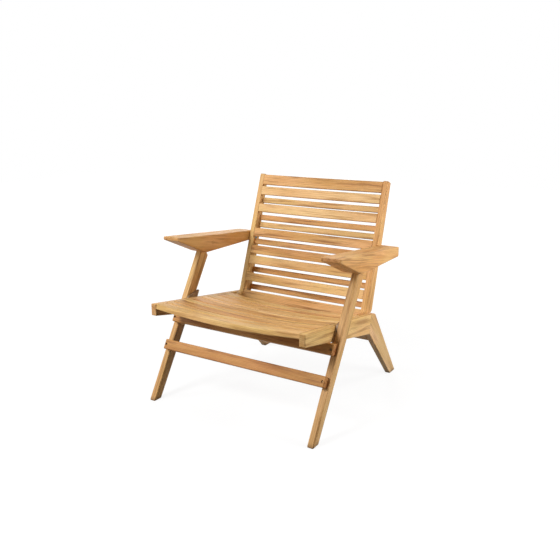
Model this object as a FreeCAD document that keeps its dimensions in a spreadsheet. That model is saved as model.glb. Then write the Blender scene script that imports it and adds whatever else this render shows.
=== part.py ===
import FreeCAD, Part
import math
import os
import re
import Sketcher
from FreeCAD import Placement, Rotation, Vector

# Folding teak armchair. +Z is up, the chair faces -Y, and +X is to the right of someone looking at it.
# The origin is on the floor, under the middle of the chair. Lengths are millimetres, angles degrees.
# Boards lie in tilted frames: "along" runs with the board's grain, "across" is square to it.
DIMENSIONS = {
    # The seat: two side rails that fall towards the back, with slats let in between them.
    "seat_front_y": -377.24,
    "seat_front_z": 380.3,
    "seat_slope": 8.2,
    "seat_half_width": 292.0,
    "rail_thickness": 22.4,
    "rail_length": 501.5,
    "rail_front_height": 43.0,
    "rail_rear_depth": 74.0,
    "rail_edge_round": 3.0,
    "seat_slat_start": 3.5,
    "seat_slat_end_margin": 47.5,
    "seat_narrow_share": 0.6415,
    "seat_slat_gap": 6.0,
    "seat_slat_thickness": 18.0,
    "seat_slat_dish": 14.0,
    "seat_slat_round": 3.5,
    # The stub tenons on every slat, and the dowels between each side rail and its rear leg.
    "tenon_length": 10.0,
    "tenon_thickness": 7.0,
    "tenon_shoulder": 5.0,
    "dowel_radius": 5.0,
    "dowel_half_length": 25.0,
    "upper_dowel_drop": 40.0,
    "lower_dowel_drop": 58.0,
    # The rear legs, which turn down from the rails' ends, and the rail that crosses between them.
    "rear_leg_rake": 46.6,
    "rear_foot_depth": 49.5,
    "knee_length": 39.0,
    "knee_round": 10.0,
    "foot_round": 3.0,
    "cross_rail_start": 4.0,
    "cross_rail_width": 52.0,
    "cross_rail_thickness": 22.0,
    # The front legs, which lean back and carry the arms on a tongue at their tops.
    "leg_lean": 30.3,
    "leg_thickness": 24.0,
    "leg_gap": 8.0,
    "leg_foot_depth": 33.0,
    "leg_top_depth": 50.5,
    "leg_edge_round": 4.0,
    "tongue_radius": 14.2,
    "tongue_length": 30.0,
    "tongue_shoulder": 14.0,
    "stretcher_lap": 15.0,
    "stretcher_width": 37.5,
    "stretcher_thickness": 24.7,
    "stretcher_edge_round": 3.0,
    "lower_stretcher_up": 196.5,
    "upper_stretcher_up": 304.3,
    "stop_clearance": 0.3,
    # The spacer block between each front leg and its side rail.
    "spacer_inset": 2.0,
    "spacer_depth": 50.0,
    "spacer_below_pivot": 32.0,
    "spacer_front_rise": 31.0,
    "spacer_rear_rise": 77.0,
    # The folding linkage: two pivots on the side rails, and one link vector shared by legs and back.
    "leg_pivot_along": 219.1,
    "leg_pivot_drop": 33.3,
    "back_pivot_from_joint": 16.4,
    "back_pivot_drop": 18.7,
    "link_run": 122.8,
    "link_rise": 229.5,
    "fold_range": 95.0,
    # The back: two stiles that taper towards the top, with slats let in between them.
    "back_lean": 19.6,
    "back_base_rise": 20.0,
    "stile_thickness": 21.0,
    "stile_gap": 4.5,
    "stile_bolt_depth": 22.0,
    "stile_top": 501.0,
    "stile_top_depth": 29.0,
    "stile_base": 8.0,
    "stile_base_depth": 60.0,
    "stile_top_round": 6.0,
    "stile_edge_round": 3.0,
    "heel_start": 3.0,
    "heel_radius": 17.0,
    "heel_fillet": 22.0,
    "back_slat_start": -39.0,
    "back_slat_end_margin": 3.8,
    "back_narrow_share": 0.6387,
    "back_slat_bottom": 46.5,
    "back_slat_top": 42.0,
    "back_slat_gap": 8.0,
    "back_slat_thickness": 14.0,
    "back_slat_dish": 5.0,
    "back_slat_round": 2.5,
    "narrow_slat_inset": 2.0,
    # The arms: wedge-shaped in side view, grooved underneath for the legs' tongues.
    "arm_gap": 2.0,
    "arm_width": 74.0,
    "arm_front_reach": 200.5,
    "arm_front_rise": 49.5,
    "arm_tip_thickness": 12.5,
    "arm_break_reach": 41.0,
    "arm_depth_below_pin": 33.0,
    "arm_rear_reach": 17.0,
    "arm_rear_rise": 4.0,
    "arm_edge_round": 4.0,
    "arm_break_round": 30.0,
    "groove_side_clearance": 0.5,
    "groove_front_clearance": 1.0,
    "groove_roof_clearance": 3.0,
    # Bolts, pins, inserts and their running clearances.
    "bolt_radius": 4.0,
    "bolt_head_radius": 6.0,
    "bolt_head_height": 4.0,
    "bolt_head_recess": 4.5,
    "bolt_socket_radius": 2.9,
    "bolt_socket_depth": 2.4,
    "bolt_grip": 15.0,
    "recess_clearance": 0.5,
    "running_clearance": 0.08,
    "face_clearance": 0.3,
    "fit_clearance": 0.02,
    "insert_radius": 5.5,
    "pin_wall_depth": 5.0,
    "plug_radius": 6.0,
    "plug_length": 9.0,
    "pivot_spacer_radius": 10.0,
    "screw_radius": 2.2,
    "screw_head_radius": 4.2,
    "screw_head_height": 3.0,
    "screw_recess": 4.5,
    "screw_grip": 20.0,
    "upper_screw_drop": 1.5,
    "cross_recess_width": 1.2,
    "cross_recess_span": 5.0,
    "cross_recess_depth": 1.8,
}
# The slats from front to back and from the bottom up: wide and narrow ones, and in the back the bottom
# one, the top one and a narrow one in the middle of the stiles' depth.
SEAT_PATTERN = "WNWNWNWNW"
BACK_PATTERN = "BNWNWWMWNNWNWT"


def wide_slat(pattern, room, gap, narrow_share):
    """The width of a wide slat, when the row of a pattern fills the room that it has."""
    gaps = f"{len(pattern) - 1} * {gap}"
    narrow = pattern.count("N") + pattern.count("M")
    return f"({room} - {gaps}) / ({pattern.count('W')} + {narrow} * {narrow_share})"


SEAT_ROOM = "rail_length - seat_slat_start - seat_slat_end_margin"
BACK_ROOM = "stile_top - back_slat_end_margin - back_slat_start - back_slat_bottom - back_slat_top"

# Places worked out from the driving dimensions.
LAYOUT = {
    "rail_outer_x": "seat_half_width + rail_thickness",
    "leg_inner_x": "rail_outer_x + leg_gap",
    "stretcher_half_length": "leg_inner_x + stretcher_lap",
    "screw_x": "leg_inner_x + stretcher_lap / 2",
    "stile_outer_x": "seat_half_width - stile_gap",
    "stile_inner_x": "stile_outer_x - stile_thickness",
    "arm_inner_x": "stile_outer_x + arm_gap",
    "groove_inner_x": "leg_inner_x - groove_side_clearance",
    "groove_width": "leg_thickness + 2 * groove_side_clearance",
    "rail_front_along": "rail_front_height * sin(seat_slope)",
    "rail_front_depth": "rail_front_height * cos(seat_slope)",
    "leg_pivot_y": "seat_front_y + leg_pivot_along * cos(seat_slope) - leg_pivot_drop * sin(seat_slope)",
    "leg_pivot_z": "seat_front_z - leg_pivot_along * sin(seat_slope) - leg_pivot_drop * cos(seat_slope)",
    "back_pivot_along": "rail_length - back_pivot_from_joint",
    "back_pivot_y": "seat_front_y + back_pivot_along * cos(seat_slope) - back_pivot_drop * sin(seat_slope)",
    "back_pivot_z": "seat_front_z - back_pivot_along * sin(seat_slope) - back_pivot_drop * cos(seat_slope)",
    "arm_pin_y": "leg_pivot_y + link_run",
    "arm_pin_z": "leg_pivot_z + link_rise",
    "arm_bolt_y": "back_pivot_y + link_run",
    "arm_bolt_z": "back_pivot_z + link_rise",
    "leg_tilt": "90 - leg_lean",
    "leg_foot_y": "arm_pin_y - arm_pin_z * tan(leg_lean) - tongue_radius / cos(leg_lean)",
    "arm_pin_up": "(arm_pin_y - leg_foot_y) * sin(leg_lean) + arm_pin_z * cos(leg_lean)",
    "leg_pivot_up": "(leg_pivot_y - leg_foot_y) * sin(leg_lean) + leg_pivot_z * cos(leg_lean)",
    "leg_pivot_inset": "(leg_pivot_y - leg_foot_y) * cos(leg_lean) - leg_pivot_z * sin(leg_lean)",
    "knee_y": "seat_front_y + rail_length * cos(seat_slope) - rail_rear_depth * sin(seat_slope)",
    "knee_z": "seat_front_z - rail_length * sin(seat_slope) - rail_rear_depth * cos(seat_slope)",
    "rear_foot_y": "knee_y + knee_z / tan(rear_leg_rake)",
    "back_tilt": "90 - back_lean",
    "back_base_z": "back_pivot_z + back_base_rise",
    "back_base_y": "arm_bolt_y - (arm_bolt_z - back_base_z) * tan(back_lean) - stile_bolt_depth / cos(back_lean)",
    "stile_taper": "(stile_base_depth - stile_top_depth) / (stile_top - stile_base)",
    "fold_exit": "90 + leg_lean - fold_range",
    "groove_offset": "leg_top_depth - tongue_radius + groove_roof_clearance",
    "groove_roof": "tongue_radius + groove_roof_clearance",
    "groove_mouth": "0 - 2 * arm_depth_below_pin",
    "seat_slat_wide": wide_slat(SEAT_PATTERN, SEAT_ROOM, "seat_slat_gap", "seat_narrow_share"),
    "seat_slat_narrow": "seat_slat_wide * seat_narrow_share",
    "back_slat_wide": wide_slat(BACK_PATTERN, BACK_ROOM, "back_slat_gap", "back_narrow_share"),
    "back_slat_narrow": "back_slat_wide * back_narrow_share",
    "seat_dish_radius": "(seat_half_width ^ 2 + seat_slat_dish ^ 2) / (2 * seat_slat_dish)",
    "back_dish_radius": "(stile_inner_x ^ 2 + back_slat_dish ^ 2) / (2 * back_slat_dish)",
}

document = FreeCAD.newDocument("folding_armchair")
sheet_of = {}
for sheet_name, cells in (("sizes", DIMENSIONS), ("layout", LAYOUT)):
    sheet_of.update({name: sheet_name for name in cells})


def formula(words):
    """Aliases written as plain words, with the sheet that holds each put in front."""
    return re.sub(r"[a-z]+(?:_[a-z0-9]+)+", lambda m: sheet_of[m.group()] + "." + m.group(), str(words))


def fill_sheet(name, cells):
    sheet = document.addObject("Spreadsheet::Sheet", name)
    for row, (alias, content) in enumerate(cells.items(), start=1):
        is_formula = isinstance(content, str)
        sheet.set(f"A{row}", alias)
        sheet.set(f"B{row}", "=" + formula(content) if is_formula else str(content))
        sheet.setAlias(f"B{row}", alias)
    document.recompute()
    return sheet


sizes = fill_sheet("sizes", DIMENSIONS)
layout = fill_sheet("layout", LAYOUT)


def number(words):
    return float(sizes.evalExpression(formula(words)))


def bind(thing, name, words):
    thing.setExpression(name, formula(words))


# Each frame is the world place of its corner and its tilt about X.
SEAT = ("seat_front_y", "seat_front_z", "0 - seat_slope")
REAR = ("knee_y", "knee_z", "0 - rear_leg_rake")
LEG = ("leg_foot_y", "0", "leg_tilt")
BACK = ("back_base_y", "back_base_z", "back_tilt")
ARM = ("arm_pin_y", "arm_pin_z", "0")


def along(frame, y, z):
    """How far a world point lies along a frame."""
    base_y, base_z, tilt = frame
    return f"(({y}) - ({base_y})) * cos({tilt}) + (({z}) - ({base_z})) * sin({tilt})"


def across(frame, y, z):
    """How far a world point lies across a frame."""
    base_y, base_z, tilt = frame
    return f"(({z}) - ({base_z})) * cos({tilt}) - (({y}) - ({base_y})) * sin({tilt})"


def inside(frame, other, up, over):
    """A point of one frame, given in another frame's along and across."""
    base_y, base_z, tilt = frame
    y = f"{base_y} + ({up}) * cos({tilt}) - ({over}) * sin({tilt})"
    z = f"{base_z} + ({up}) * sin({tilt}) + ({over}) * cos({tilt})"
    return along(other, y, z), across(other, y, z)


def place(thing, frame, x="0", up="0", over="0"):
    base_y, base_z, tilt = frame
    thing.Placement = Placement(Vector(0, 0, 0), Rotation(Vector(1, 0, 0), 1))
    bind(thing, "Placement.Rotation.Angle", tilt)
    bind(thing, "Placement.Base.x", x)
    bind(thing, "Placement.Base.y", f"{base_y} + ({up}) * cos({tilt}) - ({over}) * sin({tilt})")
    bind(thing, "Placement.Base.z", f"{base_z} + ({up}) * sin({tilt}) + ({over}) * cos({tilt})")


def new_body(label):
    body = document.addObject("PartDesign::Body", label)
    body.Label = label
    return body


def new_sketch(body, role, offset="0"):
    """A sketch on one of the body's own origin planes, or parallel to it."""
    sketch = body.newObject("Sketcher::SketchObject", body.Label + "_sketch")
    plane = next(item for item in body.Origin.OriginFeatures if item.Role == role)
    sketch.AttachmentSupport = [(plane, "")]
    sketch.MapMode = "FlatFace"
    bind(sketch, "AttachmentOffset.Base.z", offset)
    return sketch


def pin_point(sketch, geometry, position, point):
    """Binds one point of the sketch to a pair of formulas."""
    for kind, words in zip(("DistanceX", "DistanceY"), point):
        constraint = Sketcher.Constraint(kind, -1, 1, geometry, position, number(words))
        index = sketch.addConstraint(constraint)
        sketch.setExpression(f"Constraints[{index}]", formula(words))


def set_radius(sketch, geometry, words):
    index = sketch.addConstraint(Sketcher.Constraint("Radius", geometry, number(words)))
    sketch.setExpression(f"Constraints[{index}]", formula(words))


def turn_left(vector):
    return Vector(-vector.y, vector.x, 0)


def leave_circle(centre, radius, corner, side):
    """Where the line between a corner and a circle, kept on the outline's left, touches the circle."""
    reach = corner - centre
    turn = side * math.acos(radius / reach.Length)
    start = math.atan2(reach.y, reach.x)
    return centre + Vector(math.cos(start + turn), math.sin(start + turn), 0) * radius


def draw_outline(sketch, corners):
    """A closed outline, counter-clockwise. A corner is (y, z), or (y, z, radius) where it is rounded,
    or (y, z, radius, "about") where the outline passes round a centre."""
    count = len(corners)
    points = [Vector(number(c[0]), number(c[1]), 0) for c in corners]
    stops = []
    for i, corner in enumerate(corners):
        before, here, after = points[i - 1], points[i], points[(i + 1) % count]
        if len(corner) == 2:
            stops.append((here, here, None))
            continue
        radius = number(corner[2])
        if len(corner) == 4:
            start = leave_circle(here, radius, before, 1)
            end = leave_circle(here, radius, after, -1)
            stops.append((start, end, here))
            continue
        towards = (before - here).normalize()
        onwards = (after - here).normalize()
        half = towards.getAngle(onwards) / 2
        cut = radius / math.tan(half)
        centre = here + (towards + onwards).normalize() * (radius / math.sin(half))
        stops.append((here + towards * cut, here + onwards * cut, centre))
    lines = []
    for i in range(count):
        segment = Part.LineSegment(stops[i][1], stops[(i + 1) % count][0])
        lines.append(sketch.addGeometry(segment, False))
    for i, corner in enumerate(corners):
        start, end, centre = stops[i]
        line_in, line_out = lines[i - 1], lines[i]
        if centre is None:
            sketch.addConstraint(Sketcher.Constraint("Coincident", line_in, 2, line_out, 1))
            pin_point(sketch, line_out, 1, corner)
            continue
        left = turn_left(points[i] - points[i - 1]).dot(points[(i + 1) % count] - points[i]) > 0
        convex = left or len(corner) == 4
        radius = number(corner[2])
        circle = Part.Circle(centre, Vector(0, 0, 1), radius)
        first, last = (start, end) if convex else (end, start)
        angles = [math.atan2(p.y - centre.y, p.x - centre.x) for p in (first, last)]
        arc = sketch.addGeometry(Part.ArcOfCircle(circle, angles[0], angles[1]), False)
        in_end, out_end = (1, 2) if convex else (2, 1)
        sketch.addConstraint(Sketcher.Constraint("Tangent", line_in, 2, arc, in_end))
        sketch.addConstraint(Sketcher.Constraint("Tangent", line_out, 1, arc, out_end))
        set_radius(sketch, arc, corner[2])
        if len(corner) == 4:
            pin_point(sketch, arc, 3, corner[:2])
            continue
        mark = sketch.addGeometry(Part.Point(points[i]), True)
        pin_point(sketch, mark, 1, corner[:2])
        sketch.addConstraint(Sketcher.Constraint("PointOnObject", mark, 1, line_in))
        sketch.addConstraint(Sketcher.Constraint("PointOnObject", mark, 1, line_out))


def rectangle(low_y, high_y, low_z, high_z):
    return [(low_y, low_z), (high_y, low_z), (high_y, high_z), (low_y, high_z)]


def pad(body, sketch, length, midplane=False, backwards=False):
    feature = body.newObject("PartDesign::Pad", body.Label + "_pad")
    feature.Profile = sketch
    feature.Midplane = midplane
    feature.Reversed = backwards
    bind(feature, "Length", length)
    document.recompute()
    return feature


def pocket(body, sketch, length, backwards=True):
    """A pocket must take material away, so the volume is compared."""
    before = body.Tip.Shape.Volume
    feature = body.newObject("PartDesign::Pocket", body.Label + "_pocket")
    feature.Profile = sketch
    feature.Reversed = backwards
    bind(feature, "Length", length)
    document.recompute()
    if not feature.Shape.Volume < before:
        raise RuntimeError(f"{feature.Label} cuts nothing")


def draw_circle(sketch, centre, radius):
    point = Vector(number(centre[0]), number(centre[1]), 0)
    circle = sketch.addGeometry(Part.Circle(point, Vector(0, 0, 1), number(radius)), False)
    pin_point(sketch, circle, 3, centre)
    set_radius(sketch, circle, radius)


def bore(body, centre, radius, depth):
    """A round hole across a board, from its face on the chair's inner side."""
    sketch = new_sketch(body, "YZ_Plane")
    draw_circle(sketch, centre, radius)
    pocket(body, sketch, depth)


def round_edges(body, radius, wanted):
    """Rounds the edges of the body so far that the test picks."""
    base = body.Tip
    names = [f"Edge{i}" for i, edge in enumerate(base.Shape.Edges, start=1) if wanted(edge)]
    feature = body.newObject("PartDesign::Fillet", body.Label + "_rounding")
    feature.Base = (base, names)
    bind(feature, "Radius", radius)
    document.recompute()


def middle(edge):
    return edge.valueAt((edge.FirstParameter + edge.LastParameter) / 2)


def is_lengthwise(edge):
    """An edge that lies in one of the board's two broad faces."""
    low, high = edge.BoundBox.XMin, edge.BoundBox.XMax
    return high - low < 0.001


def board(label, frame, corners, thickness, x, radius, sharp=None):
    """A board cut to an outline, its edges rounded except where the test says that they stay sharp."""
    body = new_body(label)
    sketch = new_sketch(body, "YZ_Plane")
    draw_outline(sketch, corners)
    pad(body, sketch, thickness)
    place(body, frame, x)
    keep = sharp or (lambda edge: False)
    round_edges(body, radius, lambda edge: is_lengthwise(edge) and not keep(edge))
    return body


def mirrored(label, source):
    """The left-hand piece, a mirror image of the right-hand one."""
    twin = document.addObject("Part::Mirroring", label)
    twin.Label = label
    twin.Source = source
    twin.Normal = Vector(1, 0, 0)
    twin.Base = Vector(0, 0, 0)
    return twin


def pair(label, *sources):
    """Identical pieces, right and left, kept together."""
    group = document.addObject("Part::Compound", label)
    group.Label = label
    group.Links = [piece for s in sources for piece in (s, mirrored(s.Label + "_left", s))]
    return group


def add_tenons(body, half_length, width, thickness):
    """A stub tenon on each end of a slat: the right one padded, the left one its mirror image."""
    low = f"0 - ({thickness}) / 2 - tenon_thickness / 2"
    high = f"0 - ({thickness}) / 2 + tenon_thickness / 2"
    sketch = new_sketch(body, "YZ_Plane", half_length)
    draw_outline(sketch, rectangle("tenon_shoulder", f"{width} - tenon_shoulder", low, high))
    tenon = pad(body, sketch, "tenon_length")
    mirror = body.newObject("PartDesign::Mirrored", body.Label + "_mirror")
    mirror.Originals = [tenon]
    plane = next(item for item in body.Origin.OriginFeatures if item.Role == "YZ_Plane")
    mirror.MirrorPlane = (plane, [""])
    body.Tip = mirror
    document.recompute()


def dished_slat(label, frame, up, over, half_length, width, thickness, dish, dish_radius, radius):
    """A slat sawn to a shallow curve, hollow towards the sitter, with a stub tenon on each end."""
    body = new_body(label)
    sketch = new_sketch(body, "XZ_Plane")
    ends = [f"0 - ({half_length})", half_length]
    arcs = []
    for level in (f"0 - ({thickness})", "0"):
        height, depth, reach = number(level), number(dish), number(half_length)
        arc = Part.Arc(Vector(-reach, height, 0), Vector(0, height - depth, 0), Vector(reach, height, 0))
        arcs.append(sketch.addGeometry(arc, False))
        set_radius(sketch, arcs[-1], dish_radius)
        first = sketch.getPoint(arcs[-1], 1)
        left_end, right_end = (1, 2) if first.x < 0 else (2, 1)
        pin_point(sketch, arcs[-1], left_end, (ends[0], level))
        pin_point(sketch, arcs[-1], right_end, (ends[1], level))
    for end in (left_end, right_end):
        low, high = (sketch.getPoint(arc, end) for arc in arcs)
        line = sketch.addGeometry(Part.LineSegment(low, high), False)
        sketch.addConstraint(Sketcher.Constraint("Coincident", line, 1, arcs[0], end))
        sketch.addConstraint(Sketcher.Constraint("Coincident", line, 2, arcs[1], end))
    pad(body, sketch, width, backwards=True)
    round_edges(body, radius, lambda edge: isinstance(edge.Curve, Part.Circle))
    add_tenons(body, half_length, width, thickness)
    place(body, frame, "0", up, over)
    return body


def cut_mortises(body, slats, start, backwards):
    """The mortises for a row of slats: (place along, width, thickness, place across)."""
    for up, width, thickness, over in slats:
        low = f"({over}) - ({thickness}) / 2 - tenon_thickness / 2"
        high = f"({over}) - ({thickness}) / 2 + tenon_thickness / 2"
        sketch = new_sketch(body, "YZ_Plane", start)
        near, far = f"({up}) + tenon_shoulder", f"({up}) + {width} - tenon_shoulder"
        draw_outline(sketch, rectangle(near, far, low, high))
        pocket(body, sketch, "tenon_length", backwards)


def turned(label, frame, corners, x, up="0", over="0"):
    """A turned piece with its axis along X. Corners are (distance along X, radius)."""
    body = new_body(label)
    sketch = new_sketch(body, "XY_Plane")
    draw_outline(sketch, corners)
    feature = body.newObject("PartDesign::Revolution", label + "_turning")
    feature.Profile = sketch
    feature.ReferenceAxis = (sketch, ["H_Axis"])
    feature.Angle = 360
    document.recompute()
    place(body, frame, x, up, over)
    return body


def bolt_outline(length):
    """Half of a bolt: a recessed cap head, and a plain shank that ends at length."""
    return [
        ("0 - bolt_head_height", "0"),
        (length, "0"),
        (length, "bolt_radius"),
        ("0", "bolt_radius"),
        ("0", "bolt_head_radius"),
        ("0 - bolt_head_height", "bolt_head_radius"),
    ]


def bolt(label, frame, end_x, x):
    """A bolt from x to end_x, with a hexagon socket in its head."""
    body = turned(label, frame, bolt_outline(f"{end_x} - ({x})"), x)
    sketch = new_sketch(body, "YZ_Plane", "0 - bolt_head_height")
    radius = "bolt_socket_radius"
    draw_outline(sketch, [(f"{radius} * cos({turn})", f"{radius} * sin({turn})") for turn in range(0, 360, 60)])
    pocket(body, sketch, "bolt_socket_depth")
    return body


def tube_outline(length, inner, outer):
    return rectangle("0", length, inner, outer)


def slat_row(pattern, widths, start, gap):
    """Where each slat of a pattern starts, and how wide it is."""
    row = []
    up = start
    for letter in pattern:
        row.append((letter, up, widths[letter]))
        up = f"{up} + {widths[letter]} + {gap}"
    return row


NODES = []


def keep_node(thing):
    NODES.append(thing)
    return thing


def both_sides(source):
    """The right-hand piece as built, and its mirror image for the left."""
    keep_node(source)
    keep_node(mirrored(source.Label.replace("_right", "_left"), source))


# The seat slats lie flush with the rails' tops, wide and narrow in turn.
seat_row = slat_row(
    SEAT_PATTERN,
    {"W": "seat_slat_wide", "N": "seat_slat_narrow"},
    "seat_slat_start",
    "seat_slat_gap",
)


def make_seat_slats():
    for index, (letter, up, width) in enumerate(seat_row, start=1):
        slat = dished_slat(
            f"seat_slat_{index}",
            SEAT,
            up,
            "0",
            "seat_half_width",
            width,
            "seat_slat_thickness",
            "seat_slat_dish",
            "seat_dish_radius",
            "seat_slat_round",
        )
        keep_node(slat)


def make_side_rails():
    """A tapered board on edge. Its rear end is square to its top and meets the rear leg."""
    corners = [
        ("rail_front_along", "0 - rail_front_depth", "rail_edge_round"),
        ("rail_length", "0 - rail_rear_depth"),
        ("rail_length", "0"),
        ("0", "0", "rail_edge_round"),
    ]
    rail_end = number("rail_length")
    body = board(
        "side_rail_right",
        SEAT,
        corners,
        "rail_thickness",
        "seat_half_width",
        "rail_edge_round",
        lambda edge: middle(edge).y > rail_end - 0.01,
    )
    mortises = [(up, width, "seat_slat_thickness", "0") for letter, up, width in seat_row]
    cut_mortises(body, mortises, "0", True)
    leg_pivot = ("leg_pivot_along", "0 - leg_pivot_drop")
    bore(body, leg_pivot, "bolt_radius + running_clearance", "rail_thickness")
    bore(body, leg_pivot, "bolt_head_radius + recess_clearance", "bolt_head_recess")
    back_pivot = ("back_pivot_along", "0 - back_pivot_drop")
    bore(body, back_pivot, "insert_radius + fit_clearance", "bolt_grip + fit_clearance")
    drill_for_dowels(body, True)
    both_sides(body)


def dowel_centres():
    return ("0 - upper_dowel_drop", "0 - lower_dowel_drop")


def drill_for_dowels(body, backwards):
    """Round holes along the grain, square to the joint between rail and rear leg."""
    for drop in dowel_centres():
        sketch = new_sketch(body, "XZ_Plane", "0 - rail_length")
        draw_circle(sketch, ("rail_thickness / 2", drop), "dowel_radius + fit_clearance")
        pocket(body, sketch, "dowel_half_length", backwards)


def make_rear_legs():
    """The rear leg is cut to its outline in the seat's frame, so that the joint is square to it."""
    foot_front = (along(SEAT, "rear_foot_y", "0"), across(SEAT, "rear_foot_y", "0"), "foot_round")
    heel_y = "rear_foot_y + rear_foot_depth"
    foot_rear = (along(SEAT, heel_y, "0"), across(SEAT, heel_y, "0"), "foot_round")
    corners = [
        ("rail_length", "0 - rail_rear_depth"),
        foot_front,
        foot_rear,
        ("rail_length + knee_length", "0", "knee_round"),
        ("rail_length", "0"),
    ]
    rail_end = number("rail_length")
    body = board(
        "rear_leg_right",
        SEAT,
        corners,
        "rail_thickness",
        "seat_half_width",
        "rail_edge_round",
        lambda edge: middle(edge).y < rail_end + 0.01,
    )
    cut_cross_mortise(body)
    drill_for_dowels(body, False)
    both_sides(body)


def cut_cross_mortise(body):
    """The mortise for the cross rail's tenon, turned to the rear leg's own direction."""
    middle_line = "cross_rail_thickness / 2"
    near, far = "cross_rail_start + tenon_shoulder", "cross_rail_start + cross_rail_width - tenon_shoulder"
    low, high = f"{middle_line} - tenon_thickness / 2", f"{middle_line} + tenon_thickness / 2"
    corners = [inside(REAR, SEAT, y, z) for y, z in rectangle(near, far, low, high)]
    sketch = new_sketch(body, "YZ_Plane")
    draw_outline(sketch, corners)
    pocket(body, sketch, "tenon_length", True)


def make_cross_rail():
    """The straight rail between the rear legs, its face in line with their front edges."""
    body = new_body("rear_cross_rail")
    sketch = new_sketch(body, "YZ_Plane")
    draw_outline(sketch, rectangle("0", "cross_rail_width", "0 - cross_rail_thickness", "0"))
    pad(body, sketch, "2 * seat_half_width", midplane=True)
    round_edges(body, "rail_edge_round", lambda edge: not is_lengthwise(edge))
    add_tenons(body, "seat_half_width", "cross_rail_width", "cross_rail_thickness")
    place(body, REAR, "0", "cross_rail_start", "cross_rail_thickness")
    keep_node(body)


def make_knee_dowels():
    """Two dowels in each joint between side rail and rear leg."""
    dowels = []
    for index, drop in enumerate(dowel_centres(), start=1):
        body = new_body(f"knee_dowel_{index}")
        sketch = new_sketch(body, "XZ_Plane")
        draw_circle(sketch, ("0", "0"), "dowel_radius")
        pad(body, sketch, "2 * (dowel_half_length - face_clearance)", midplane=True)
        place(body, SEAT, "seat_half_width + rail_thickness / 2", "rail_length", drop)
        dowels.append(body)
    keep_node(pair("knee_dowels", *dowels))


def make_front_legs():
    """A tapered leg, its foot cut level with the floor, its top turned to a tongue about the arm's pin."""
    foot_rear = ("leg_foot_depth * tan(leg_lean)", "0 - leg_foot_depth", "foot_round")
    shoulder = "arm_pin_up - tongue_length - tongue_shoulder"
    corners = [
        foot_rear,
        (shoulder, "0 - leg_top_depth"),
        ("arm_pin_up - tongue_length", "0 - 2 * tongue_radius"),
        ("arm_pin_up", "0 - tongue_radius", "tongue_radius", "about"),
        ("0", "0", "foot_round"),
    ]
    body = board("front_leg_right", LEG, corners, "leg_thickness", "leg_inner_x", "leg_edge_round")
    pivot = ("leg_pivot_up", "0 - leg_pivot_inset")
    bore(body, pivot, "insert_radius + fit_clearance", "bolt_grip + fit_clearance")
    bore(body, ("arm_pin_up", "0 - tongue_radius"), "bolt_radius + fit_clearance", "leg_thickness")
    for up in screw_places():
        sketch = new_sketch(body, "XY_Plane")
        draw_circle(sketch, ("screw_x - leg_inner_x", up), "screw_radius + fit_clearance")
        pocket(body, sketch, "screw_grip + face_clearance", False)
    both_sides(body)


def screw_places():
    return (
        "lower_stretcher_up + stretcher_width / 2",
        "upper_stretcher_up + stretcher_width / 2 - upper_screw_drop",
    )


def rail_underside(over):
    """How far up the leg the underside of the side rail crosses a line at a given distance in front."""
    front = ("seat_front_y", "seat_front_z - rail_front_height")
    knee = ("knee_y", "knee_z")
    low_up, low_over = along(LEG, *front), across(LEG, *front)
    high_up, high_over = along(LEG, *knee), across(LEG, *knee)
    share = f"(({over}) - ({low_over})) / (({high_over}) - ({low_over}))"
    return f"{low_up} + {share} * (({high_up}) - ({low_up})) - stop_clearance"


def make_stretchers():
    """Two straight rails screwed to the fronts of the legs. The upper one stops the legs under the rails."""
    thick = "stretcher_thickness"
    lower_top = "lower_stretcher_up + stretcher_width"
    outlines = {
        "lower_front_stretcher": rectangle("lower_stretcher_up", lower_top, "0", thick),
        "upper_front_stretcher": [
            ("upper_stretcher_up", "0"),
            (rail_underside("0"), "0"),
            (rail_underside(thick), thick),
            ("upper_stretcher_up", thick),
        ],
    }
    for (label, corners), up in zip(outlines.items(), screw_places()):
        body = new_body(label)
        sketch = new_sketch(body, "YZ_Plane")
        draw_outline(sketch, corners)
        pad(body, sketch, "2 * stretcher_half_length", midplane=True)
        round_edges(body, "stretcher_edge_round", lambda edge: True)
        for radius, depth in (
            ("screw_radius + fit_clearance", thick),
            ("screw_head_radius + fit_clearance", "screw_recess + screw_head_height"),
        ):
            sketch = new_sketch(body, "XY_Plane", thick)
            for side in ("", "0 - "):
                draw_circle(sketch, (f"{side}screw_x", up), radius)
            pocket(body, sketch, depth, False)
        place(body, LEG)
        keep_node(body)


def make_stretcher_screws():
    """Screws with a cross recess, sunk well below the stretchers' faces."""
    screws = []
    for index, up in enumerate(screw_places(), start=1):
        body = new_body(f"stretcher_screw_{index}")
        sketch = new_sketch(body, "XZ_Plane")
        top = "stretcher_thickness - screw_recess"
        corners = [
            ("0", "0 - screw_grip"),
            ("screw_radius", "0 - screw_grip"),
            ("screw_radius", f"{top} - screw_head_height"),
            ("screw_head_radius", f"{top} - screw_head_height"),
            ("screw_head_radius", top),
            ("0", top),
        ]
        draw_outline(sketch, corners)
        feature = body.newObject("PartDesign::Revolution", body.Label + "_turning")
        feature.Profile = sketch
        feature.ReferenceAxis = (sketch, ["V_Axis"])
        feature.Angle = 360
        document.recompute()
        for span, width in (("cross_recess_span", "cross_recess_width"), ("cross_recess_width", "cross_recess_span")):
            sketch = new_sketch(body, "XY_Plane", top)
            draw_outline(sketch, rectangle(f"0 - {span} / 2", f"{span} / 2", f"0 - {width} / 2", f"{width} / 2"))
            pocket(body, sketch, "cross_recess_depth", False)
        place(body, LEG, "screw_x", up)
        screws.append(body)
    keep_node(pair("stretcher_screws", *screws))


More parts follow.
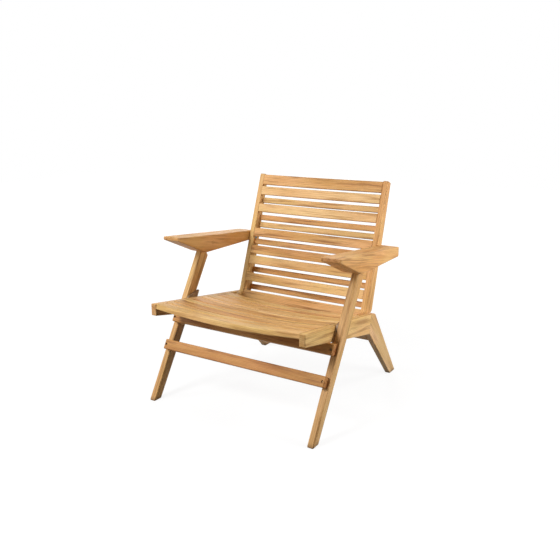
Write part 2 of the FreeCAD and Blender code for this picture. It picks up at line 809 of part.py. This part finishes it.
def make_leg_spacers():
    """The block that fills the gap between leg and rail round the pivot, and shows above the rail."""
    low = "leg_pivot_up - spacer_below_pivot"
    front = "0 - spacer_inset"
    rear = "0 - spacer_inset - spacer_depth"
    corners = [
        (low, rear, "rail_edge_round"),
        ("leg_pivot_up + spacer_rear_rise", rear, "rail_edge_round"),
        ("leg_pivot_up + spacer_front_rise", front),
        (low, front),
    ]
    body = new_body("leg_spacer_right")
    sketch = new_sketch(body, "YZ_Plane")
    draw_outline(sketch, corners)
    pad(body, sketch, "leg_gap - face_clearance")
    bore(body, ("leg_pivot_up", "0 - leg_pivot_inset"), "bolt_radius + fit_clearance", "leg_gap")
    place(body, LEG, "rail_outer_x + face_clearance")
    both_sides(body)


def stile_depth(up):
    return f"(stile_base_depth - stile_taper * (({up}) - stile_base))"


def back_places():
    """Where each back slat lies: wide ones flush in front, narrow ones near the stiles' rear edges. The
    one beside the arm's bolt lies midway."""
    widths = {
        "B": "back_slat_bottom",
        "W": "back_slat_wide",
        "M": "back_slat_narrow",
        "N": "back_slat_narrow",
        "T": "back_slat_top",
    }
    places = []
    for letter, up, width in slat_row(BACK_PATTERN, widths, "back_slat_start", "back_slat_gap"):
        setback = f"({stile_depth(f'{up} + {width} / 2')} - back_slat_thickness)"
        over = {"N": f"narrow_slat_inset - {setback}", "M": f"0 - {setback} / 2"}.get(letter, "0")
        places.append((up, width, "back_slat_thickness", over))
    return places


def make_back_slats():
    for index, (up, width, thickness, over) in enumerate(back_places(), start=1):
        slat = dished_slat(
            f"back_slat_{index}",
            BACK,
            up,
            over,
            "stile_inner_x",
            width,
            thickness,
            "back_slat_dish",
            "back_dish_radius",
            "back_slat_round",
        )
        keep_node(slat)


def make_stiles():
    """A tapered upright whose foot hooks forward to a round heel about the back's pivot."""
    pivot = (along(BACK, "back_pivot_y", "back_pivot_z"), across(BACK, "back_pivot_y", "back_pivot_z"))
    corners = [
        ("stile_base", "0 - stile_base_depth", "heel_fillet"),
        ("stile_top", "0 - stile_top_depth", "stile_top_round"),
        ("stile_top", "0", "stile_top_round"),
        ("0 - heel_start", "0", "heel_fillet"),
        (*pivot, "heel_radius", "about"),
    ]
    body = board("back_stile_right", BACK, corners, "stile_thickness", "stile_inner_x", "stile_edge_round")
    arm_bolt = (along(BACK, "arm_bolt_y", "arm_bolt_z"), across(BACK, "arm_bolt_y", "arm_bolt_z"))
    for centre in (pivot, arm_bolt):
        bore(body, centre, "bolt_radius + running_clearance", "stile_thickness")
        bore(body, centre, "bolt_head_radius + recess_clearance", "bolt_head_recess")
    cut_mortises(body, back_places(), "0", True)
    both_sides(body)


def groove_line(z):
    """Where the rear face of the folded leg, with its clearance, crosses a height in the arm."""
    return f"(groove_offset - ({z}) * cos(fold_exit)) / sin(fold_exit)"


def groove_front(z):
    """The groove's front wall, parallel to the front of the leg when the chair stands."""
    return f"({z}) * tan(leg_lean) - (tongue_radius + groove_front_clearance) / cos(leg_lean)"


def make_arms():
    """A thick board: thin at the front tip, deepest where the leg enters, with a level underside behind."""
    link_y, link_z = "arm_bolt_y - arm_pin_y", "arm_bolt_z - arm_pin_z"
    rear = f"{link_y} + arm_rear_reach"
    corners = [
        ("0 - arm_front_reach", "arm_front_rise - arm_tip_thickness", "arm_edge_round"),
        ("0 - arm_break_reach", "0 - arm_depth_below_pin", "arm_break_round"),
        (rear, "0 - arm_depth_below_pin", "arm_edge_round"),
        (rear, "arm_rear_rise", "arm_edge_round"),
        ("0 - arm_front_reach", "arm_front_rise", "arm_edge_round"),
    ]
    body = board("armrest_right", ARM, corners, "arm_width", "arm_inner_x", "arm_edge_round")
    sketch = new_sketch(body, "YZ_Plane", "groove_inner_x - arm_inner_x")
    groove = [
        (groove_front("groove_mouth"), "groove_mouth"),
        (groove_line("groove_mouth"), "groove_mouth"),
        (groove_line("groove_roof"), "groove_roof"),
        (groove_front("groove_roof"), "groove_roof"),
    ]
    draw_outline(sketch, groove)
    pocket(body, sketch, "groove_width")
    pin = ("0", "0")
    far_wall = "groove_inner_x + groove_width - arm_inner_x"
    bore(body, pin, "bolt_radius + running_clearance", f"{far_wall} + pin_wall_depth + face_clearance")
    bore(body, pin, "plug_radius + fit_clearance", "plug_length")
    bore(body, (link_y, link_z), "insert_radius + fit_clearance", "bolt_grip + fit_clearance")
    both_sides(body)


def make_fixings():
    """The pivot bolts with their inserts and washers, and the pins that carry the arms."""
    leg_bolt_x = "seat_half_width + bolt_head_recess - face_clearance"
    leg_pivot = ("leg_pivot_y", "leg_pivot_z", "0")
    leg_bolt = bolt("leg_pivot_bolt", leg_pivot, "leg_inner_x + bolt_grip", leg_bolt_x)
    keep_node(pair("leg_pivot_bolts", leg_bolt))
    sleeve = tube_outline("bolt_grip", "bolt_radius + fit_clearance", "insert_radius")
    leg_insert = turned("leg_insert", leg_pivot, sleeve, "leg_inner_x")
    keep_node(pair("leg_inserts", leg_insert))

    stile_bolt_x = "stile_inner_x + bolt_head_recess - face_clearance"
    back_pivot = ("back_pivot_y", "back_pivot_z", "0")
    back_bolt = bolt("back_pivot_bolt", back_pivot, "seat_half_width + bolt_grip", stile_bolt_x)
    keep_node(pair("back_pivot_bolts", back_bolt))
    rail_insert = turned("rail_insert", back_pivot, sleeve, "seat_half_width")
    keep_node(pair("rail_inserts", rail_insert))
    wide_ring = tube_outline("stile_gap - face_clearance", "bolt_radius + fit_clearance", "pivot_spacer_radius")
    back_spacer = turned("back_pivot_spacer", back_pivot, wide_ring, "stile_outer_x + face_clearance")
    keep_node(pair("back_pivot_spacers", back_spacer))

    arm_end = ("arm_bolt_y", "arm_bolt_z", "0")
    arm_bolt = bolt("arm_bolt_right", arm_end, "arm_inner_x + bolt_grip", stile_bolt_x)
    both_sides(arm_bolt)
    arm_insert = turned("arm_insert_right", arm_end, sleeve, "arm_inner_x")
    both_sides(arm_insert)
    thin_ring = tube_outline("arm_gap - face_clearance", "bolt_radius + running_clearance", "pivot_spacer_radius")
    arm_washer = turned("arm_washer", arm_end, thin_ring, "stile_outer_x")
    keep_node(pair("arm_washers", arm_washer))

    pin_x = "arm_inner_x + plug_length + face_clearance"
    pin_end = f"groove_inner_x + groove_width + pin_wall_depth - ({pin_x})"
    pin = turned("arm_pin", ARM, rectangle("0", pin_end, "0", "bolt_radius"), pin_x)
    keep_node(pair("arm_pins", pin))
    plug = turned("arm_plug_right", ARM, rectangle("0", "plug_length", "0", "plug_radius"), "arm_inner_x")
    both_sides(plug)


make_side_rails()
make_rear_legs()
make_knee_dowels()
make_cross_rail()
make_seat_slats()
make_front_legs()
make_stretchers()
make_stretcher_screws()
make_leg_spacers()
make_stiles()
make_back_slats()
make_arms()
make_fixings()
document.recompute()

for thing in document.Objects:
    if "Invalid" in thing.State or "Error" in thing.State:
        raise RuntimeError(f"{thing.Label} failed: {thing.State}")
for node in NODES:
    if node.Shape.isNull() or not node.Shape.isValid():
        raise RuntimeError(f"{node.Label} has no valid shape")

os.makedirs("parts", exist_ok=True)
for node in NODES:
    node.Shape.exportStep(f"parts/{node.Label}.step")
    print(f"{node.Label}: {len(node.Shape.Solids)} solid(s), {node.Shape.Volume / 1000:.1f} cm3")
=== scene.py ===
import math
import random

import bpy
from mathutils import Euler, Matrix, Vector


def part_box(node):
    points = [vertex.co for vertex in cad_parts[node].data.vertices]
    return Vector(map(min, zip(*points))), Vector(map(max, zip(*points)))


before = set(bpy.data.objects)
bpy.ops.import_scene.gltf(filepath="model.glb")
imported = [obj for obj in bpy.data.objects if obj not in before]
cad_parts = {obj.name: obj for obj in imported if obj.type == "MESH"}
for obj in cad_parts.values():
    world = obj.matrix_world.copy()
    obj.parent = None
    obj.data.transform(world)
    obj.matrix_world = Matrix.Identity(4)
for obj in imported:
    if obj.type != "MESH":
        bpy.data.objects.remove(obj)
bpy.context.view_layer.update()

# Side rails: two tapered teak boards on edge, sanded and oiled, that fall towards the back of the seat.
# Each is mortised on its inner face for the seat slats, and bored for the pivot bolts of leg and back.


def shade(code):
    """A written colour such as d9a365, as the shader takes it."""
    channels = [int(code[i:i + 2], 16) / 255 for i in (0, 2, 4)]
    linear = [c / 12.92 if c <= 0.04045 else ((c + 0.055) / 1.055) ** 2.4 for c in channels]
    return (*linear, 1.0)


def add(tree, kind, **settings):
    """A new node in a shader's tree, with its settings."""
    node = tree.nodes.new(kind)
    for name, value in settings.items():
        setattr(node, name, value)
    return node


def calculate(tree, kind, first, second, clamp=False):
    """A Math node; its inputs are sockets or numbers."""
    node = add(tree, "ShaderNodeMath", operation=kind, use_clamp=clamp)
    for socket, value in zip(node.inputs, (first, second)):
        if isinstance(value, (int, float)):
            socket.default_value = value
        else:
            tree.links.new(value, socket)
    return node.outputs[0]


def blend_colours(tree, kind, share, first, second):
    """A Mix node for colours, whose sockets 6 and 7 are the two colours; inputs are sockets or values."""
    node = add(tree, "ShaderNodeMix", data_type="RGBA", blend_type=kind)
    for socket, value in zip((node.inputs[0], node.inputs[6], node.inputs[7]), (share, first, second)):
        if isinstance(value, (int, float, tuple)):
            socket.default_value = value
        else:
            tree.links.new(value, socket)
    return node.outputs[2]


def drawn_out(tree, vector, stretch, scale, detail, roughness=0.55, distortion=0.0):
    """Noise whose spots are drawn out along X, to stretch times their width."""
    squeezed = add(tree, "ShaderNodeVectorMath", operation="MULTIPLY")
    tree.links.new(vector, squeezed.inputs[0])
    squeezed.inputs[1].default_value = (1 / stretch, 1, 1)
    noise = add(tree, "ShaderNodeTexNoise")
    tree.links.new(squeezed.outputs[0], noise.inputs["Vector"])
    noise.inputs["Scale"].default_value = scale
    noise.inputs["Detail"].default_value = detail
    noise.inputs["Roughness"].default_value = roughness
    noise.inputs["Distortion"].default_value = distortion
    return noise


def between(tree, value, low, high):
    """0 below low, 1 above high, and smooth between."""
    node = add(tree, "ShaderNodeMapRange", interpolation_type="SMOOTHSTEP")
    tree.links.new(value, node.inputs["Value"])
    node.inputs["From Min"].default_value = low
    node.inputs["From Max"].default_value = high
    return node.outputs["Result"]


# Teak as it is in the log: growth rings about a heart line, broad streaks of gold and brown, fibres and
# fine pores, all drawn out along X. Cut ends show darker and duller than the faces.
rosy_flush = (1.02, 0.98, 0.97, 1)
green_flush = (0.97, 1.0, 0.9, 1)
fibre_shadow = (0.62, 0.5, 0.4, 1)
pore_shadow = (0.42, 0.3, 0.22, 1)
end_shadow = (0.72, 0.62, 0.68, 1)
sanded_roughness = 0.52
teak_grain = bpy.data.node_groups.new("teak grain", "ShaderNodeTree")
for name, kind in (
    ("Grain", "NodeSocketVector"),
    ("Facing", "NodeSocketVector"),
    ("Pale", "NodeSocketColor"),
    ("Gold", "NodeSocketColor"),
    ("Brown", "NodeSocketColor"),
    ("Streaks", "NodeSocketFloat"),
):
    teak_grain.interface.new_socket(name=name, in_out="INPUT", socket_type=kind)
for name, kind in (
    ("Colour", "NodeSocketColor"),
    ("Roughness", "NodeSocketFloat"),
    ("Height", "NodeSocketFloat"),
):
    teak_grain.interface.new_socket(name=name, in_out="OUTPUT", socket_type=kind)
tree = teak_grain
given = add(tree, "NodeGroupInput")
made = add(tree, "NodeGroupOutput")

# The grain wanders by up to a centimetre to either side.
wander_width = 0.02
wander = drawn_out(tree, given.outputs["Grain"], stretch=9, scale=14, detail=2)
centred = add(tree, "ShaderNodeVectorMath", operation="SUBTRACT")
tree.links.new(wander.outputs["Color"], centred.inputs[0])
centred.inputs[1].default_value = (0.5, 0.5, 0.5)
slight = add(tree, "ShaderNodeVectorMath", operation="MULTIPLY")
tree.links.new(centred.outputs[0], slight.inputs[0])
slight.inputs[1].default_value = (0, wander_width, wander_width)
waved = add(tree, "ShaderNodeVectorMath", operation="ADD")
tree.links.new(given.outputs["Grain"], waved.inputs[0])
tree.links.new(slight.outputs[0], waved.inputs[1])

ring_stretch = 20
shortened = add(tree, "ShaderNodeVectorMath", operation="MULTIPLY")
tree.links.new(waved.outputs[0], shortened.inputs[0])
shortened.inputs[1].default_value = (1 / ring_stretch, 1, 1)
rings = add(tree, "ShaderNodeTexWave", wave_type="RINGS", rings_direction="X", wave_profile="SAW")
tree.links.new(shortened.outputs[0], rings.inputs["Vector"])
rings.inputs["Scale"].default_value = 62
rings.inputs["Distortion"].default_value = 1.6
rings.inputs["Detail"].default_value = 2
rings.inputs["Detail Scale"].default_value = 0.25
broad = drawn_out(tree, waved.outputs[0], stretch=8, scale=26, detail=3, distortion=0.4)
flush = drawn_out(tree, waved.outputs[0], stretch=4, scale=16, detail=2)
streaks = drawn_out(tree, waved.outputs[0], stretch=16, scale=95, detail=3)
fibres = drawn_out(tree, given.outputs["Grain"], stretch=45, scale=900, detail=2, roughness=0.6)
pores = drawn_out(tree, given.outputs["Grain"], stretch=14, scale=1500, detail=1)
facing = add(tree, "ShaderNodeSeparateXYZ")
tree.links.new(given.outputs["Facing"], facing.inputs[0])

broad_share = between(tree, broad.outputs["Fac"], 0.32, 0.68)
flush_share = between(tree, flush.outputs["Fac"], 0.38, 0.62)
streak_share = between(tree, streaks.outputs["Fac"], 0.48, 0.72)
streak_share = calculate(tree, "MULTIPLY", streak_share, given.outputs["Streaks"], clamp=True)
late_wood = between(tree, rings.outputs["Fac"], 0.45, 1.0)
fibre_share = between(tree, fibres.outputs["Fac"], 0.35, 0.75)
pore_share = between(tree, pores.outputs["Fac"], 0.66, 0.74)
end_share = between(tree, calculate(tree, "ABSOLUTE", facing.outputs["X"], 0), 0.6, 0.95)

colour = blend_colours(tree, "MIX", broad_share, given.outputs["Pale"], given.outputs["Gold"])
tint = blend_colours(tree, "MIX", flush_share, rosy_flush, green_flush)
colour = blend_colours(tree, "MULTIPLY", 1.0, colour, tint)
colour = blend_colours(tree, "MIX", streak_share, colour, given.outputs["Brown"])
ring_share = calculate(tree, "MULTIPLY", late_wood, 0.4)
colour = blend_colours(tree, "MIX", ring_share, colour, given.outputs["Brown"])
for mark, strength, shadow in (
    (fibre_share, 0.3, fibre_shadow),
    (pore_share, 0.45, pore_shadow),
    (end_share, 0.6, end_shadow),
):
    colour = blend_colours(tree, "MULTIPLY", calculate(tree, "MULTIPLY", mark, strength), colour, shadow)
tree.links.new(colour, made.inputs["Colour"])

dull = calculate(tree, "MULTIPLY", late_wood, -0.1)
dull = calculate(tree, "ADD", dull, calculate(tree, "MULTIPLY", fibre_share, 0.12))
dull = calculate(tree, "ADD", dull, calculate(tree, "MULTIPLY", end_share, 0.15))
tree.links.new(calculate(tree, "ADD", dull, sanded_roughness), made.inputs["Roughness"])

relief = calculate(tree, "MULTIPLY", fibre_share, -0.35)
relief = calculate(tree, "ADD", relief, calculate(tree, "MULTIPLY", pore_share, -1.0))
relief = calculate(tree, "ADD", relief, calculate(tree, "MULTIPLY", late_wood, 0.25))
tree.links.new(relief, made.inputs["Height"])

# Edge wear: the oil has gone and dirt has settled where hands and weather reach the rounded edges.
worn_width = 0.0045
worn_brown = (0.52, 0.42, 0.32, 1)
edge_wear = bpy.data.node_groups.new("edge wear", "ShaderNodeTree")
for name, kind in (("Colour", "NodeSocketColor"), ("Spread", "NodeSocketVector")):
    edge_wear.interface.new_socket(name=name, in_out="INPUT", socket_type=kind)
edge_wear.interface.new_socket(name="Colour", in_out="OUTPUT", socket_type="NodeSocketColor")
tree = edge_wear
given = add(tree, "NodeGroupInput")
made = add(tree, "NodeGroupOutput")
softened = add(tree, "ShaderNodeBevel", samples=4)
softened.inputs["Radius"].default_value = worn_width
plain = add(tree, "ShaderNodeNewGeometry")
match = add(tree, "ShaderNodeVectorMath", operation="DOT_PRODUCT")
tree.links.new(softened.outputs["Normal"], match.inputs[0])
tree.links.new(plain.outputs["Normal"], match.inputs[1])
edge = between(tree, calculate(tree, "SUBTRACT", 1.0, match.outputs["Value"]), 0.02, 0.25)
patchy = drawn_out(tree, given.outputs["Spread"], stretch=2, scale=60, detail=3)
edge = calculate(tree, "MULTIPLY", edge, between(tree, patchy.outputs["Fac"], 0.2, 0.6))
edge = calculate(tree, "MULTIPLY", edge, 0.85)
worn = blend_colours(tree, "MULTIPLY", edge, given.outputs["Colour"], worn_brown)
tree.links.new(worn, made.inputs["Colour"])


def dress(node_name, material):
    """Gives a whole piece one material."""
    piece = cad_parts[node_name]
    piece.data.materials.clear()
    piece.data.materials.append(material)


# The feet are darker and greyer towards the floor, fading out between these heights.
darkening_from = 0.002
darkening_to = 0.018
near_floor_grey = (0.5, 0.48, 0.5, 1)


def teak(node_name, slope, tones, streaks, cut):
    """Teak for one board. Slope is the angle in degrees at which its grain rises towards the back, or None
    where it runs across the chair; cut is the board's place in the log, from cut_place."""
    pale, gold, brown = tones
    beside, above, along = cut
    material = bpy.data.materials.new("teak " + node_name)
    material.use_nodes = True
    tree = material.node_tree
    tree.nodes.clear()
    turn = Euler((0, 0, 0)) if slope is None else Euler((math.radians(-slope), 0, math.radians(-90)))
    low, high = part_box(node_name)
    centre = turn.to_matrix() @ ((low + high) / 2)
    place = add(tree, "ShaderNodeTexCoord")
    grain = add(tree, "ShaderNodeMapping")
    grain.inputs["Rotation"].default_value = turn
    grain.inputs["Location"].default_value = Vector((along, beside, above)) - centre
    tree.links.new(place.outputs["Object"], grain.inputs["Vector"])
    facing = add(tree, "ShaderNodeMapping", vector_type="NORMAL")
    facing.inputs["Rotation"].default_value = turn
    tree.links.new(place.outputs["Normal"], facing.inputs["Vector"])
    wood = add(tree, "ShaderNodeGroup", node_tree=teak_grain)
    tree.links.new(grain.outputs[0], wood.inputs["Grain"])
    tree.links.new(facing.outputs[0], wood.inputs["Facing"])
    wood.inputs["Pale"].default_value = shade(pale)
    wood.inputs["Gold"].default_value = shade(gold)
    wood.inputs["Brown"].default_value = shade(brown)
    wood.inputs["Streaks"].default_value = streaks
    wear = add(tree, "ShaderNodeGroup", node_tree=edge_wear)
    tree.links.new(wood.outputs["Colour"], wear.inputs["Colour"])
    tree.links.new(grain.outputs[0], wear.inputs["Spread"])
    colour = wear.outputs["Colour"]
    # Boards that reach down to the floor get darker and greyer at the bottom.
    if low.z < darkening_to:
        ground = add(tree, "ShaderNodeSeparateXYZ")
        tree.links.new(place.outputs["Object"], ground.inputs[0])
        clear_of_floor = between(tree, ground.outputs["Z"], darkening_from, darkening_to)
        near_floor_darkened = blend_colours(tree, "MULTIPLY", 1.0, colour, near_floor_grey)
        colour = blend_colours(tree, "MIX", clear_of_floor, near_floor_darkened, colour)
    raised = add(tree, "ShaderNodeBump")
    raised.inputs["Strength"].default_value = 0.35
    raised.inputs["Distance"].default_value = 0.0004
    tree.links.new(wood.outputs["Height"], raised.inputs["Height"])
    surface = add(tree, "ShaderNodeBsdfPrincipled")
    surface.inputs["Specular IOR Level"].default_value = 0.22
    tree.links.new(colour, surface.inputs["Base Color"])
    tree.links.new(wood.outputs["Roughness"], surface.inputs["Roughness"])
    tree.links.new(raised.outputs[0], surface.inputs["Normal"])
    finished = add(tree, "ShaderNodeOutputMaterial")
    tree.links.new(surface.outputs[0], finished.inputs["Surface"])
    dress(node_name, material)
    return material


def cut_place(board_number):
    """Where in the log a board was sawn, in metres: beside the heart, above it, and how far along."""
    chance = random.Random(board_number)
    return (chance.uniform(0.03, 0.09), chance.uniform(0.02, 0.08), chance.uniform(-9, 9))


seat_slope = -8.2
golden = ("e6b579", "d09958", "966432")
yellow = ("e9c286", "d8a967", "a67742")
for number, side in enumerate(("left", "right")):
    teak(f"side_rail_{side}", seat_slope, yellow, streaks=0.8, cut=cut_place(number))

# Rear legs: short tapered teak boards dowelled to the ends of the rails, where the grain turns down.
# The dowels are teak too, and hidden inside the joints.
rear_leg_slope = -46.6
# The left leg's darker tawny tones are painted shade, standing in for the shade under the seat.
shaded_tawny = ("d2a672", "b5895a", "7d5c38")
rosy = ("e5bf8f", "d1a56b", "9c7046")
for number, (side, tones) in enumerate((("left", shaded_tawny), ("right", rosy))):
    teak(f"rear_leg_{side}", rear_leg_slope, tones, streaks=0.8, cut=cut_place(10 + number))
teak("knee_dowels", seat_slope, yellow, streaks=0.2, cut=cut_place(12))

# Rear cross rail: a plain teak board that keeps the rear legs upright.
# Its stub tenons are glued into mortises in both legs.
teak("rear_cross_rail", None, golden, streaks=0.6, cut=cut_place(20))

# Seat slats: nine teak boards sawn hollow for the sitter, wide and narrow in turn, tenoned into the rails.
# They come from several logs, so their tones differ a little.
pale = ("f0cc94", "e3b67a", "ba8b53")
seat_tones = (yellow, yellow, golden, yellow, golden, pale, yellow, golden, yellow)
for number, tones in enumerate(seat_tones, start=1):
    teak(f"seat_slat_{number}", None, tones, streaks=0.8, cut=cut_place(30 + number))

# Front legs: tapered teak boards that lean back, with a round tongue at the top that carries the arm.
# The spacer blocks between leg and rail are greyer and darker than the legs.
leg_slope = 59.7
olive = ("e2b77e", "cb9c5e", "926837")
grey_spacer_tones = ("c2a687", "a08768", "74604a")
for number, side in enumerate(("left", "right")):
    teak(f"front_leg_{side}", leg_slope, olive, streaks=0.7, cut=cut_place(150 + number))
    teak(f"leg_spacer_{side}", leg_slope, grey_spacer_tones, streaks=0.8, cut=cut_place(54 + number))

# Front stretchers: two plain teak boards laid across the fronts of the legs.
# Each is held by one sunk screw at either end.
# Their darker amber tone is partly the wood's own colour and partly painted shade from the seat above.
amber_and_shade = ("d09859", "b77c41", "865226")
for number, level in enumerate(("lower", "upper")):
    teak(f"{level}_front_stretcher", None, amber_and_shade, streaks=0.9, cut=cut_place(60 + number))

# Screws: steel with a cross recess and a brown coat that is rubbed in places.
# Their heads are sunk below the stretchers' faces.
coated = bpy.data.materials.new("brown coated steel")
coated.use_nodes = True
tree = coated.node_tree
metal = tree.nodes["Principled BSDF"]
metal.inputs["Metallic"].default_value = 1.0
place = add(tree, "ShaderNodeTexCoord")
rubbed = drawn_out(tree, place.outputs["Object"], stretch=1, scale=700, detail=3)
rubbed_share = between(tree, rubbed.outputs["Fac"], 0.45, 0.65)
tone = blend_colours(tree, "MIX", rubbed_share, shade("6e5236"), shade("a58560"))
tree.links.new(tone, metal.inputs["Base Color"])
smoother = calculate(tree, "MULTIPLY", rubbed_share, -0.15)
tree.links.new(calculate(tree, "ADD", smoother, 0.55), metal.inputs["Roughness"])
dress("stretcher_screws", coated)

# Back stiles: tapered teak uprights, mortised on their inner faces for the back slats.
# Each has a round heel about its pivot bolt, and is bored higher up for the bolt that holds the arm.
stile_slope = 70.4
for number, (side, tones) in enumerate((("left", yellow), ("right", golden))):
    teak(f"back_stile_{side}", stile_slope, tones, streaks=0.7, cut=cut_place(70 + number))

# Back slats: fourteen thin teak boards, sawn to a shallow curve and tenoned into the stiles.
# Wide and narrow ones are mixed, and those at the bottom and the top are the widest.
# The pale tones of slats 11 and 13, high in the back, are painted light: a brighter patch on the upper
# back.
back_tones_with_light = (
    golden, golden, yellow, golden, yellow, golden, golden,
    golden, yellow, golden, pale, yellow, pale, golden,
)
for number, tones in enumerate(back_tones_with_light, start=1):
    teak(f"back_slat_{number}", None, tones, streaks=0.9, cut=cut_place(80 + number))

# Arms: thick wedge-shaped teak boards, grooved underneath for the legs' tongues.
# Small plugs, cut from the same board with their grain lined up, close the pins' holes inside.
arm_slope = -10.4
for number, side in enumerate(("left", "right")):
    arm_teak = teak(f"armrest_{side}", arm_slope, golden, streaks=0.7, cut=cut_place(100 + number))
    dress(f"arm_plug_{side}", arm_teak)

# Pivot fixings: turned stainless steel bolts, inserts, washers, spacer rings and arm pins.
# They have a satin brushed face, and the bolts' heads are sunk in the inner sides of rails and stiles.
steel = bpy.data.materials.new("satin stainless steel")
steel.use_nodes = True
tree = steel.node_tree
metal = tree.nodes["Principled BSDF"]
metal.inputs["Metallic"].default_value = 1.0
place = add(tree, "ShaderNodeTexCoord")
brushed = drawn_out(tree, place.outputs["Object"], stretch=0.1, scale=900, detail=2)
tone = blend_colours(tree, "MIX", brushed.outputs["Fac"], shade("77726a"), shade("99948b"))
tree.links.new(tone, metal.inputs["Base Color"])
rougher = calculate(tree, "MULTIPLY", brushed.outputs["Fac"], 0.2)
tree.links.new(calculate(tree, "ADD", rougher, 0.25), metal.inputs["Roughness"])
for name in (
    "leg_pivot_bolts",
    "leg_inserts",
    "back_pivot_bolts",
    "back_pivot_spacers",
    "rail_inserts",
    "arm_pins",
    "arm_washers",
    "arm_bolt_left",
    "arm_bolt_right",
    "arm_insert_left",
    "arm_insert_right",
):
    dress(name, steel)

# Studio: a white paper floor that glows, a little less near the chair, so that its shadow shows.
# The surroundings are white where the camera or a reflection meets them, and light nothing else.
bpy.ops.object.select_all(action="DESELECT")
bpy.ops.mesh.primitive_plane_add(size=14, location=(0, 0, 0))
floor = bpy.context.object
floor.name = "floor"


def seen_directly(tree):
    """1 for rays from the camera, and for those that metal or glass sends on."""
    path = add(tree, "ShaderNodeLightPath")
    seen = calculate(tree, "MAXIMUM", path.outputs["Is Camera Ray"], path.outputs["Is Glossy Ray"])
    return calculate(tree, "MAXIMUM", seen, path.outputs["Is Transmission Ray"])


bounced_grey = (0.22, 0.22, 0.22, 1)
seen_grey = (0.7, 0.7, 0.7, 1)
white = (1, 1, 1, 1)
shadow_reach = 0.7
glow_reach = 2.2
near_glow = 0.8
far_glow = 1.0
paper = bpy.data.materials.new("white paper floor")
paper.use_nodes = True
tree = paper.node_tree
matt = tree.nodes["Principled BSDF"]
seen = seen_directly(tree)
tree.links.new(blend_colours(tree, "MIX", seen, bounced_grey, seen_grey), matt.inputs["Base Color"])
matt.inputs["Roughness"].default_value = 0.9
matt.inputs["Specular IOR Level"].default_value = 0.1
glow = add(tree, "ShaderNodeEmission")
glow.inputs["Color"].default_value = white
glow.inputs["Strength"].default_value = 1.1
place = add(tree, "ShaderNodeTexCoord")
away = add(tree, "ShaderNodeVectorMath", operation="LENGTH")
tree.links.new(place.outputs["Object"], away.inputs[0])
fading = between(tree, away.outputs["Value"], shadow_reach, glow_reach)
fading = calculate(tree, "MULTIPLY", fading, far_glow - near_glow)
fading = calculate(tree, "ADD", fading, near_glow)
both = add(tree, "ShaderNodeMixShader")
tree.links.new(calculate(tree, "MULTIPLY", seen, fading), both.inputs[0])
tree.links.new(matt.outputs[0], both.inputs[1])
tree.links.new(glow.outputs[0], both.inputs[2])
tree.links.new(both.outputs[0], tree.nodes["Material Output"].inputs["Surface"])
floor.data.materials.append(paper)

world = bpy.data.worlds.new("white surroundings")
bpy.context.scene.world = world
world.use_nodes = True
tree = world.node_tree
sky = tree.nodes["Background"]
sky.inputs["Color"].default_value = white
tree.links.new(seen_directly(tree), sky.inputs["Strength"])

# Lamps: six soft round ones, all aimed at the seat. The high one in front on the left is the main one,
# the low one beside it fills, and the others brighten the top, the back and the right side.
seat_middle = Vector((0, 0, 0.4))


def lamp(name, place, size, power):
    """A round lamp that the camera doesn't see, with its width in metres and its power in watts."""
    light = bpy.data.lights.new(name, "AREA")
    light.shape = "DISK"
    light.size = size
    light.energy = power
    holder = bpy.data.objects.new(name, light)
    holder.location = place
    holder.rotation_euler = (seat_middle - Vector(place)).to_track_quat("-Z", "Y").to_euler()
    holder.visible_camera = False
    bpy.context.scene.collection.objects.link(holder)


lamp("high front lamp", (-1.1, -2.6, 2.6), size=1.2, power=94)
lamp("low front lamp", (-2.2, -2.0, 1.0), size=1.0, power=30)
lamp("ceiling lamp", (0, 0, 3), size=1.5, power=11)
lamp("back lamp", (1.8, 1.8, 1.5), size=1.0, power=26)
lamp("high back lamp", (-1.5, 2.3, 1.9), size=1.2, power=24)
lamp("side lamp", (1.65, 0.2, 0.8), size=0.6, power=15)

# Camera: where the photograph was taken from, about 2.4 m from the chair in front and to the right,
# higher than the top of the back and turned down by 15 degrees.
lens = bpy.data.cameras.new("camera")
lens.lens = 41.88
lens.sensor_width = 36
lens.clip_start = 0.05
camera = bpy.data.objects.new("camera", lens)
camera.location = (1.2376, -2.0156, 1.051)
camera.rotation_euler = (math.radians(75.18), 0, math.radians(31.76))
bpy.context.scene.collection.objects.link(camera)
bpy.context.scene.camera = camera
bpy.context.scene.view_settings.view_transform = "Standard"
